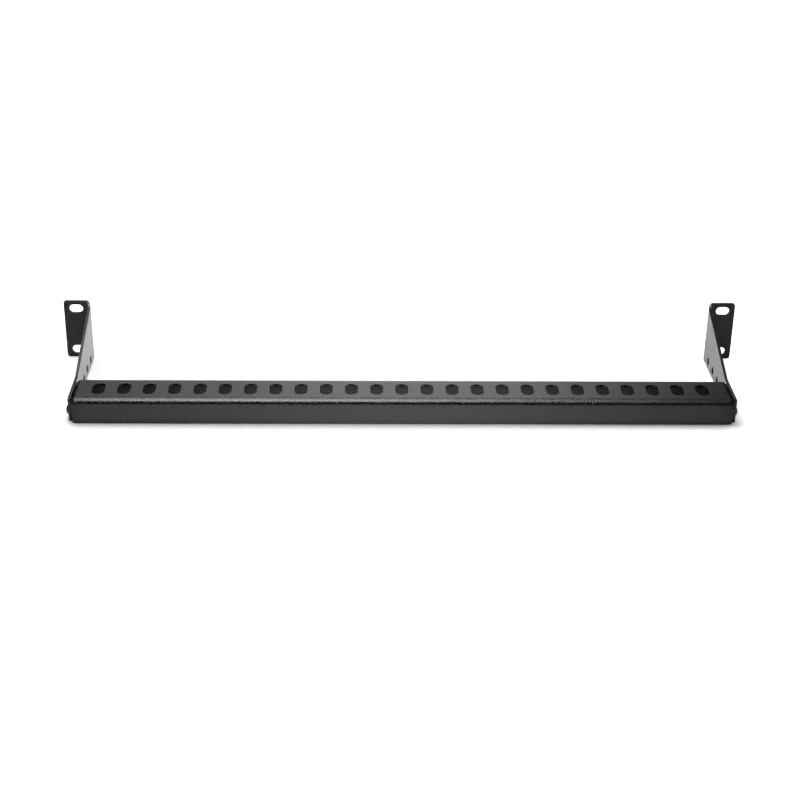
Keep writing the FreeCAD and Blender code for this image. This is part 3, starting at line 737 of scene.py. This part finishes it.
# %% [markdown]
# The screws bite into clinch nuts: round nuts with a shank that is pressed into the tab's hole. A nut's
# section is a closed line, swept about the axis. Its bore has the screw's thread wave, in step with it.

# %% Nuts
NUT_SEAT, NUT_SHARP = 220.25, 30
NUT_SHANK, NUT_RADIUS, NUT_HEIGHT = 2.7, 3.95, 2.0
NUT_BORE, NUT_THREAD, NUT_ROWS = 2.05, 0.3, 44
NUT_CHAMFER, NUT_EDGE, NUT_CORNER = 0.3, 0.1, 0.02
TOP_MOUTH, FOOT_MOUTH = (0.25, 0.2), (0.35, 0.3)


def nut_grid():
    """Radius and height round the nut's closed section: outer side down, then the threaded bore back up."""
    outer = np.array([
        (NUT_BORE + TOP_MOUTH[0], BAR_SHEET), (NUT_SHANK - NUT_EDGE, BAR_SHEET),
        (NUT_SHANK, BAR_SHEET - NUT_EDGE), (NUT_SHANK, NUT_CORNER), (NUT_SHANK + NUT_CORNER, 0.0),
        (NUT_RADIUS - NUT_EDGE, 0.0), (NUT_RADIUS, -NUT_EDGE),
        (NUT_RADIUS, -NUT_HEIGHT + NUT_CHAMFER), (NUT_RADIUS - NUT_CHAMFER, -NUT_HEIGHT),
        (NUT_BORE + FOOT_MOUTH[0], -NUT_HEIGHT),
    ])
    rise = np.linspace(-NUT_HEIGHT + FOOT_MOUTH[1], BAR_SHEET - TOP_MOUTH[1], NUT_ROWS)[:, None] + 0 * around
    bore = NUT_BORE + NUT_THREAD * (1 - thread_wave(rise + NUT_SEAT - SCREW_SEAT, around))
    radius = np.concatenate([outer[:, :1] + 0 * around, bore])
    height = np.concatenate([outer[:, 1:] + 0 * around, rise])
    return radius, height


nut_shape = nut_grid()
nut_faces = turned_faces(len(nut_shape[0]), closed=True)
nuts = four_alike("clinch_nut", "nut", nut_shape, nut_faces, NUT_SEAT, NUT_SHARP)

# %% [markdown]
# ## Finishes
#
# The coat is a black thermoset powder with a fine texture. Two sizes of noise make it: grains of well under a
# millimetre, which break the highlights into specks, and the slower waves of a sprayed and baked film. Bump
# carries both, higher over the bends and the arms' top edges, where the film gathers. Roughness and colour
# vary a little too, and the gloss has a faint violet tint. All noise is placed by Object coordinates, so
# that it stays with the piece; painted maps would need a UV layout.

# %% Material helpers
NOISE_LOW, NOISE_HIGH = 0.3, 0.7


def put(socket, value):
    """Sets a socket to a value, or links it to another node's output."""
    if isinstance(value, bpy.types.NodeSocket):
        socket.id_data.links.new(value, socket)
    else:
        socket.default_value = value


def fill(node, **inputs):
    """Sets a node's inputs by name, with an underscore for each space."""
    for name, value in inputs.items():
        put(node.inputs[name.replace("_", " ")], value)
    return node


def new_finish(name, **constants):
    """A node material with constants on its shader's own sockets, and a helper that adds filled nodes."""
    material = bpy.data.materials.new(name)
    material.use_nodes = True
    nodes = material.node_tree.nodes

    def add(kind, **inputs):
        return fill(nodes.new(kind), **inputs)

    return material, fill(nodes["Principled BSDF"], **constants), add


def reckon(add, kind, first, second=0.0):
    """A node of plain arithmetic on two values, either of which may come from another node."""
    node = add("ShaderNodeMath")
    node.operation = kind
    put(node.inputs[0], first)
    put(node.inputs[1], second)
    return node.outputs[0]


def noise(add, place, scale, detail, roughness=0.5):
    """A noise value about a half, with so many waves to a metre."""
    node = add("ShaderNodeTexNoise", Vector=place, Scale=scale, Detail=detail, Roughness=roughness)
    return node.outputs["Fac"]


def spread(add, value, low, high, start=NOISE_LOW, stop=NOISE_HIGH):
    """Stretches a noise value from its usual range to low..high."""
    node = add("ShaderNodeMapRange", Value=value, From_Min=start, From_Max=stop, To_Min=low, To_Max=high)
    return node.outputs["Result"]


def dress(add, shader, grain, tones, gloss, roughness, **relief):
    """One noise colours a shader from a dark to a light tone and bumps it; another varies its roughness."""
    tone = add("ShaderNodeMix")
    tone.data_type = "RGBA"
    put(tone.inputs["Factor"], spread(add, grain, 0.0, 1.0))
    for socket, colour in zip(tone.inputs[6:8], tones):
        put(socket, (*colour, 1))
    bump = add("ShaderNodeBump", Height=grain, **relief)
    fill(shader, Base_Color=tone.outputs[2], Roughness=spread(add, gloss, *roughness),
         Normal=bump.outputs["Normal"])


def where_all(add, *tests):
    """1 where every test holds; each is a value, a comparison and a limit in millimetres."""
    product = 1.0
    for value, kind, limit in tests:
        product = reckon(add, "MULTIPLY", product, reckon(add, kind, value, limit * MM))
    return product


print("noise is stretched from", NOISE_LOW, "to", NOISE_HIGH)

# %% Powder coat
GRAIN, FILM, CLOUD = 1250.0, 260.0, 45.0
COAT_TONES = (0.0087, 0.0082, 0.0090), (0.0133, 0.0125, 0.0138)
COAT_ROUGHNESS, COAT_IOR, COAT_TINT = (0.20, 0.24), 1.45, (1.0, 0.955, 1.015, 1)
FLAT_DEPTH, BEND_DEPTH, FILM_DEPTH, EDGE_BAND = 0.05, 0.22, 0.04, 0.3
bar_middle, bar_half = (BAR_FRONT + BAR_BACK) / 2, (BAR_BACK - BAR_FRONT) / 2

coat, shader, add = new_finish("powder_coat", IOR=COAT_IOR, Specular_Tint=COAT_TINT)
place = add("ShaderNodeTexCoord").outputs["Object"]
axes = add("ShaderNodeSeparateXYZ", Vector=place).outputs
sideways = reckon(add, "ABSOLUTE", axes["X"])
aside = reckon(add, "ABSOLUTE", reckon(add, "SUBTRACT", axes["Y"], bar_middle * MM))
# The bar's two long bends lie past the bends' axes.
over_bends = where_all(add, (aside, "GREATER_THAN", bar_half - BEND),
                       (axes["Z"], "GREATER_THAN", BAR_TOP - BEND), (sideways, "LESS_THAN", TAB_FACE))
# The arms' climbing top edges lie above the line height = climb * depth + rise.
lifted = reckon(add, "SUBTRACT", axes["Z"], reckon(add, "MULTIPLY", axes["Y"], climb))
over_arm_tops = where_all(add, (lifted, "GREATER_THAN", BAR_TOP - climb * KINK - EDGE_BAND),
                          (axes["Z"], "GREATER_THAN", BAR_TOP - EDGE_BAND),
                          (axes["Y"], "LESS_THAN", -ARM_BEND), (sideways, "GREATER_THAN", TAB_FACE))
thick = reckon(add, "MAXIMUM", over_bends, over_arm_tops)
depth = spread(add, thick, FLAT_DEPTH * MM, BEND_DEPTH * MM, 0.0, 1.0)
film = noise(add, place, FILM, 1.0)
waves = add("ShaderNodeBump", Strength=1.0, Distance=FILM_DEPTH * MM, Height=film)
dress(add, shader, noise(add, place, GRAIN, 1.0), COAT_TONES, noise(add, place, CLOUD, 2.0),
      COAT_ROUGHNESS, Strength=1.0, Distance=depth, Normal=waves.outputs["Normal"])
coated = lacing_bar, left_bracket, right_bracket
for piece in coated:
    piece.data.materials.append(coat)
print("coated pieces:", len(coated))

# %% [markdown]
# The screws are black too, but smoother, with the faint mottling of a chemical black on steel. The nuts are
# bare zinc plate: a metal whose gloss varies in fine streaks round the turned faces, made by squeezing the
# noise along the nut's axis.

# %% Screw black and zinc plate
MOTTLE, STREAKS = 900.0, (5000.0, 700.0, 700.0)
SCREW_TONES = (0.018, 0.018, 0.019), (0.034, 0.034, 0.035)
ZINC_TONES = (0.50, 0.51, 0.53), (0.64, 0.65, 0.67)
SCREW_ROUGHNESS, SCREW_IOR, ZINC_ROUGHNESS = (0.15, 0.27), 1.6, (0.26, 0.40)
FINE_DEPTH, SCREW_BUMP, ZINC_BUMP = 0.01, 1.0, 0.6

screw_black, shader, add = new_finish("screw_black", IOR=SCREW_IOR)
mottle = noise(add, add("ShaderNodeTexCoord").outputs["Object"], MOTTLE, 3.0, 0.6)
dress(add, shader, mottle, SCREW_TONES, mottle, SCREW_ROUGHNESS,
      Strength=SCREW_BUMP, Distance=FINE_DEPTH * MM)
nut_zinc, shader, add = new_finish("nut_zinc", Metallic=1.0)
place = add("ShaderNodeTexCoord").outputs["Object"]
turned = noise(add, add("ShaderNodeMapping", Vector=place, Scale=STREAKS).outputs["Vector"], 1.0, 2.0)
dress(add, shader, turned, ZINC_TONES, turned, ZINC_ROUGHNESS,
      Strength=ZINC_BUMP, Distance=FINE_DEPTH * MM)
for fasteners, finish in ((screws, screw_black), (nuts, nut_zinc)):
    for piece in fasteners:
        piece.data.materials.append(finish)
print("fasteners finished:", len(screws) + len(nuts))

# %% [markdown]
# ## The studio
#
# The bar lies on a white sweep: a floor that turns up into a wall all round, made as one profile turned about
# the upright axis. A plane would be shorter, but its far edge would show in the gloss. The overhead lamp
# lights the floor, and so it keeps the bar's shadow. What the lamp leaves short of white, the sweep glows by
# itself, for camera, reflection and transmission rays only, so that no more light falls on the part.

# %% Sweep surface
FLOOR_RADIUS, COVE_RADIUS, WALL_DIM, WALL_TOP = 2400.0, 400.0, 840.0, 1800.0
FLOOR_RINGS = [2.0, 200.0, 600.0, 1200.0]
SWEEP_DEPTH, COVE_STEPS = -60.0, 12

floor_level = BAR_FOOT
sweep_angles = run(0, 2 * np.pi, TURN_COLUMNS)[:-1]
cove = run(0, np.pi / 2, COVE_STEPS)
sweep_r = np.concatenate([FLOOR_RINGS, FLOOR_RADIUS + COVE_RADIUS * np.sin(cove),
                          [FLOOR_RADIUS + COVE_RADIUS] * 2])
sweep_z = np.concatenate([0 * np.array(FLOOR_RINGS), COVE_RADIUS * (1 - np.cos(cove)), [WALL_DIM, WALL_TOP]])
sweep_points = points_of(sweep_r[:, None] * np.cos(sweep_angles),
                         SWEEP_DEPTH + sweep_r[:, None] * np.sin(sweep_angles),
                         floor_level + sweep_z[:, None]).reshape(-1, 3)
sweep_faces = turned_faces(len(sweep_r), closed=False).tolist() + [list(range(TURN_COLUMNS))]
sweep_mesh = new_mesh("white_sweep", sweep_points, sweep_faces)
sweep_mesh.shade_smooth()
white_sweep = new_object("white_sweep", sweep_mesh)
print("sweep:", len(sweep_faces), "faces")

# %% Even glow
FLOOR_WHITE, FULL_WHITE, FLOOR_ROUGHNESS = 0.9, 1.04, 0.9
LAMP_PLACE = np.array([-110.0, 120.0, 800.0])

sweep_white, sweep_shader, add = new_finish(
    "sweep_white", Base_Color=(FLOOR_WHITE, FLOOR_WHITE, FLOOR_WHITE, 1), Roughness=FLOOR_ROUGHNESS,
    Specular_IOR_Level=0.0, Emission_Color=(1, 1, 1, 1))
path = add("ShaderNodeLightPath").outputs
seen = reckon(add, "MAXIMUM", path["Is Camera Ray"], path["Is Glossy Ray"])
seen = reckon(add, "MAXIMUM", seen, path["Is Transmission Ray"])
floor_place = add("ShaderNodeTexCoord").outputs["Object"]
under_lamp = add("ShaderNodeVectorMath", Vector=floor_place)
under_lamp.operation = "DISTANCE"
under_lamp.inputs[1].default_value = np.array([LAMP_PLACE[0], LAMP_PLACE[1], floor_level]) * MM
aslant = reckon(add, "DIVIDE", under_lamp.outputs["Value"], (LAMP_PLACE[2] - floor_level) * MM)
aslant = reckon(add, "ADD", reckon(add, "MULTIPLY", aslant, aslant), 1.0)
lamp_light = reckon(add, "DIVIDE", FLOOR_WHITE, reckon(add, "MULTIPLY", aslant, aslant))
glow = reckon(add, "MULTIPLY", reckon(add, "SUBTRACT", FULL_WHITE, lamp_light), seen)
sweep_mesh.materials.append(sweep_white)
print("white for the camera:", FULL_WHITE)

# %% [markdown]
# A glossy black part is mostly a picture of its room. So the floor's glow is graded by place, and this paints
# light and shade into the floor. For reflections it paints light in front of the bar's middle and behind the
# bar, painted shade to the right and past the ends, a painted shadow under the bar, and the glow is gone high
# up the wall, which paints it dark. For the camera it drops close to the bar, which paints the bar's shadow
# deeper, most to the right, and it is raised beside the brackets, which paints their shadows out. Many small
# cards round the set could do the same, but they would be harder to move.

# %% Graded glow: painted light and shade on the floor
# Past the bar's ends the camera sees painted light that hides the brackets' shadows, and reflections see
# painted shade.
SIDE_START, SIDE_END, PAINTED_SIDE_LIGHT, PAINTED_SIDE_SHADE = 214.0, 234.0, 0.45, 0.6
# A painted pool of light along the bar's middle, seen in reflections.
MIDDLE, MIDDLE_REACH, PAINTED_MIDDLE_LIGHT = 5.0, 235.0, 0.88
# Painted light on the floor behind the bar, seen in reflections.
BEHIND_START, BEHIND_END, PAINTED_BEHIND_LIGHT = -70.0, -40.0, 0.30
# Painted light on the floor in front of the bar, seen in reflections.
FRONT_START, FRONT_END, PAINTED_FRONT_LIGHT = -100.0, -112.0, 0.11
# Painted shade towards the right, seen in reflections.
RIGHT_START, RIGHT_END, PAINTED_RIGHT_SHADE = 0.0, 240.0, 0.28
# A painted shadow on the floor under the bar, seen in reflections.
UNDER_EDGE, PAINTED_UNDER_SHADOW = 2.0, 0.16
# Above this height the wall is painted dark in reflections.
PAINTED_DARK_HEIGHT = 900.0
# Painted shadow: for the camera the floor's glow drops along and under the bar, more to the right, so that the
# bar's shadow looks deeper.
PAINTED_SHADOW_REACH, PAINTED_SHADOW_DEPTH, PAINTED_SHADOW_RIGHT = 12.0, 0.07, 0.26


def ramp(value, start, stop, high):
    """A smooth step from 0 at start, in millimetres, to high at stop."""
    node = add("ShaderNodeMapRange", Value=value, From_Min=start * MM, From_Max=stop * MM,
               To_Min=0.0, To_Max=high)
    node.interpolation_type = "SMOOTHSTEP"
    return node.outputs["Result"]


axes = add("ShaderNodeSeparateXYZ", Vector=floor_place).outputs
across, inward, upward = axes["X"], axes["Y"], axes["Z"]
from_centre = reckon(add, "ABSOLUTE", across)
from_middle = reckon(add, "ABSOLUTE", reckon(add, "SUBTRACT", across, MIDDLE * MM))
from_bar = reckon(add, "ABSOLUTE", reckon(add, "SUBTRACT", inward, bar_middle * MM))
# Painted shadow along the bar for the camera, deepest to the right.
painted_shadow_mask = ramp(from_bar, bar_half + PAINTED_SHADOW_REACH, bar_half, 1.0)
painted_contact_shadow = reckon(add, "ADD", ramp(across, RIGHT_START, RIGHT_END, -PAINTED_SHADOW_RIGHT), -PAINTED_SHADOW_DEPTH)
# For the camera only: a painted shadow along and under the bar, and painted light past its ends.
painted_light_and_shade_for_camera = [reckon(add, "MULTIPLY", painted_shadow_mask, painted_contact_shadow),
                 ramp(from_centre, SIDE_START, SIDE_END, PAINTED_SIDE_LIGHT)]
# For reflections only: painted light in front of and behind the bar and along its middle, painted shade to the
# right, past the ends and high up the wall, and a painted shadow under the bar.
painted_light_and_shade_in_reflections = [ramp(from_centre, SIDE_START, SIDE_END, -PAINTED_SIDE_SHADE),
                 ramp(upward, WALL_DIM, PAINTED_DARK_HEIGHT, -2 * FULL_WHITE),
                 ramp(inward, BEHIND_START, BEHIND_END, PAINTED_BEHIND_LIGHT),
                 ramp(inward, FRONT_START, FRONT_END, PAINTED_FRONT_LIGHT),
                 ramp(across, RIGHT_START, RIGHT_END, -PAINTED_RIGHT_SHADE),
                 ramp(from_bar, bar_half + UNDER_EDGE, bar_half - UNDER_EDGE, -PAINTED_UNDER_SHADOW),
                 ramp(from_middle, MIDDLE_REACH, 0.0, PAINTED_MIDDLE_LIGHT)]
for ray, grades in (("Is Camera Ray", painted_light_and_shade_for_camera), ("Is Glossy Ray", painted_light_and_shade_in_reflections)):
    for grade in grades:
        glow = reckon(add, "ADD", glow, reckon(add, "MULTIPLY", grade, path[ray]))
glow = reckon(add, "MAXIMUM", glow, 0.0)
fill(sweep_shader, Emission_Strength=glow)
print("grades of the glow:", len(painted_light_and_shade_for_camera) + len(painted_light_and_shade_in_reflections))

# %% [markdown]
# ## Lamps
#
# A soft box hangs over the bar, a little to the left, and lights the floor. A second one further forward is
# seen by reflections only, and both together draw the pale line along the front bend. Three boxes far behind
# overlap, each smaller than the last, and the flat top mirrors them: brightest in the middle, dim at the
# ends. Area lamps are used because a gloss shows the lamp's own shape.

# %% Lamps
LAMPS = (
    ("overhead_box", LAMP_PLACE, LAMP_PLACE * (1, 1, 0), (620, 460), 6.3),
    ("edge_strip", (-130, -480, 800), (-130, -480, 0), (540, 600), 14.4),
    ("back_wide", (-70, 1500, 760), (-70, 0, 0), (1220, 1000), 1.50),
    ("back_middle", (10, 1490, 755), (10, 0, 0), (820, 1000), 1.10),
    ("back_core", (55, 1480, 750), (55, 0, 0), (470, 1000), 0.85),
)


def soft_box(name, place, aim, size, watts):
    """A rectangular lamp at a place in millimetres, turned to face a point."""
    lamp = bpy.data.lights.new(name, "AREA")
    lamp.shape = "RECTANGLE"
    lamp.size, lamp.size_y = size[0] * MM, size[1] * MM
    lamp.energy = watts
    back = unit(np.array(place, float) - np.array(aim, float))
    side = unit(np.cross((0.0, 1.0, 0.0), back))
    box = new_object(name, lamp)
    box.matrix_world = placing(side, np.cross(back, side), back, place)
    box.visible_camera = False
    return box


boxes = {row[0]: soft_box(*row) for row in LAMPS}
boxes["edge_strip"].visible_diffuse = False
print("lamps:", ", ".join(boxes))

# %% [markdown]
# Photographers hang black cloth round a glossy black part, so that its sides have something dark to mirror.
# A curtain runs round the set with a gap behind the bar for the back boxes, and a dark card lies on the floor
# in front. Only reflections see them: they are hidden from the camera and take no light from the floor.

# %% Dark curtain and card
CURTAIN_RADIUS, CURTAIN_LOW, CURTAIN_HIGH, CURTAIN_GAP = 2100.0, 40.0, 900.0, 22
CURTAIN_STEPS = 96
CARD_START, CARD_END, CARD_HALF, CARD_LIFT = -175.0, -2000.0, 1500.0, 0.6
CLOTH_BLACK = (0.02, 0.02, 0.02, 1)

curtain_angles = np.radians(run(90 + CURTAIN_GAP, 450 - CURTAIN_GAP, CURTAIN_STEPS))
curtain_points = points_of(CURTAIN_RADIUS * np.cos(curtain_angles), CURTAIN_RADIUS * np.sin(curtain_angles),
                           [[CURTAIN_LOW], [CURTAIN_HIGH]]).reshape(-1, 3)
curtain_faces = grid_faces(np.arange(len(curtain_points)).reshape(2, -1))
card_points = points_of([-CARD_HALF, CARD_HALF, CARD_HALF, -CARD_HALF],
                        [CARD_END, CARD_END, CARD_START, CARD_START], floor_level + CARD_LIFT)
cloth_faces = np.concatenate([curtain_faces, len(curtain_points) + np.arange(4)[None]])
cloth_mesh = new_mesh("dark_curtain", np.concatenate([curtain_points, card_points]), cloth_faces.tolist())
dark_curtain = new_object("dark_curtain", cloth_mesh)
dark_curtain.visible_camera = False
dark_curtain.visible_diffuse = False
dark_curtain.visible_shadow = False
curtain_black, _, _ = new_finish("curtain_black", Base_Color=CLOTH_BLACK, Roughness=1.0)
cloth_mesh.materials.append(curtain_black)
print("curtain and card:", len(cloth_faces), "faces")

# %% [markdown]
# The rest of the room is a dim, even grey that keeps the shadows from going black. The plain view transform
# shows colours as they are written.

# %% Room
ROOM_LIGHT = 0.10
world = bpy.data.worlds.new("dim_room")
bpy.context.scene.world = world
world.use_nodes = True
fill(world.node_tree.nodes["Background"], Color=(1, 1, 1, 1), Strength=ROOM_LIGHT)
bpy.context.scene.view_settings.view_transform = "Standard"
print("room light:", ROOM_LIGHT)

# %% [markdown]
# ## Last update
#
# The dressed part must fill the same box as the solids. The scene is brought up to date once more.

# %% Update the scene
bpy.context.view_layer.update()
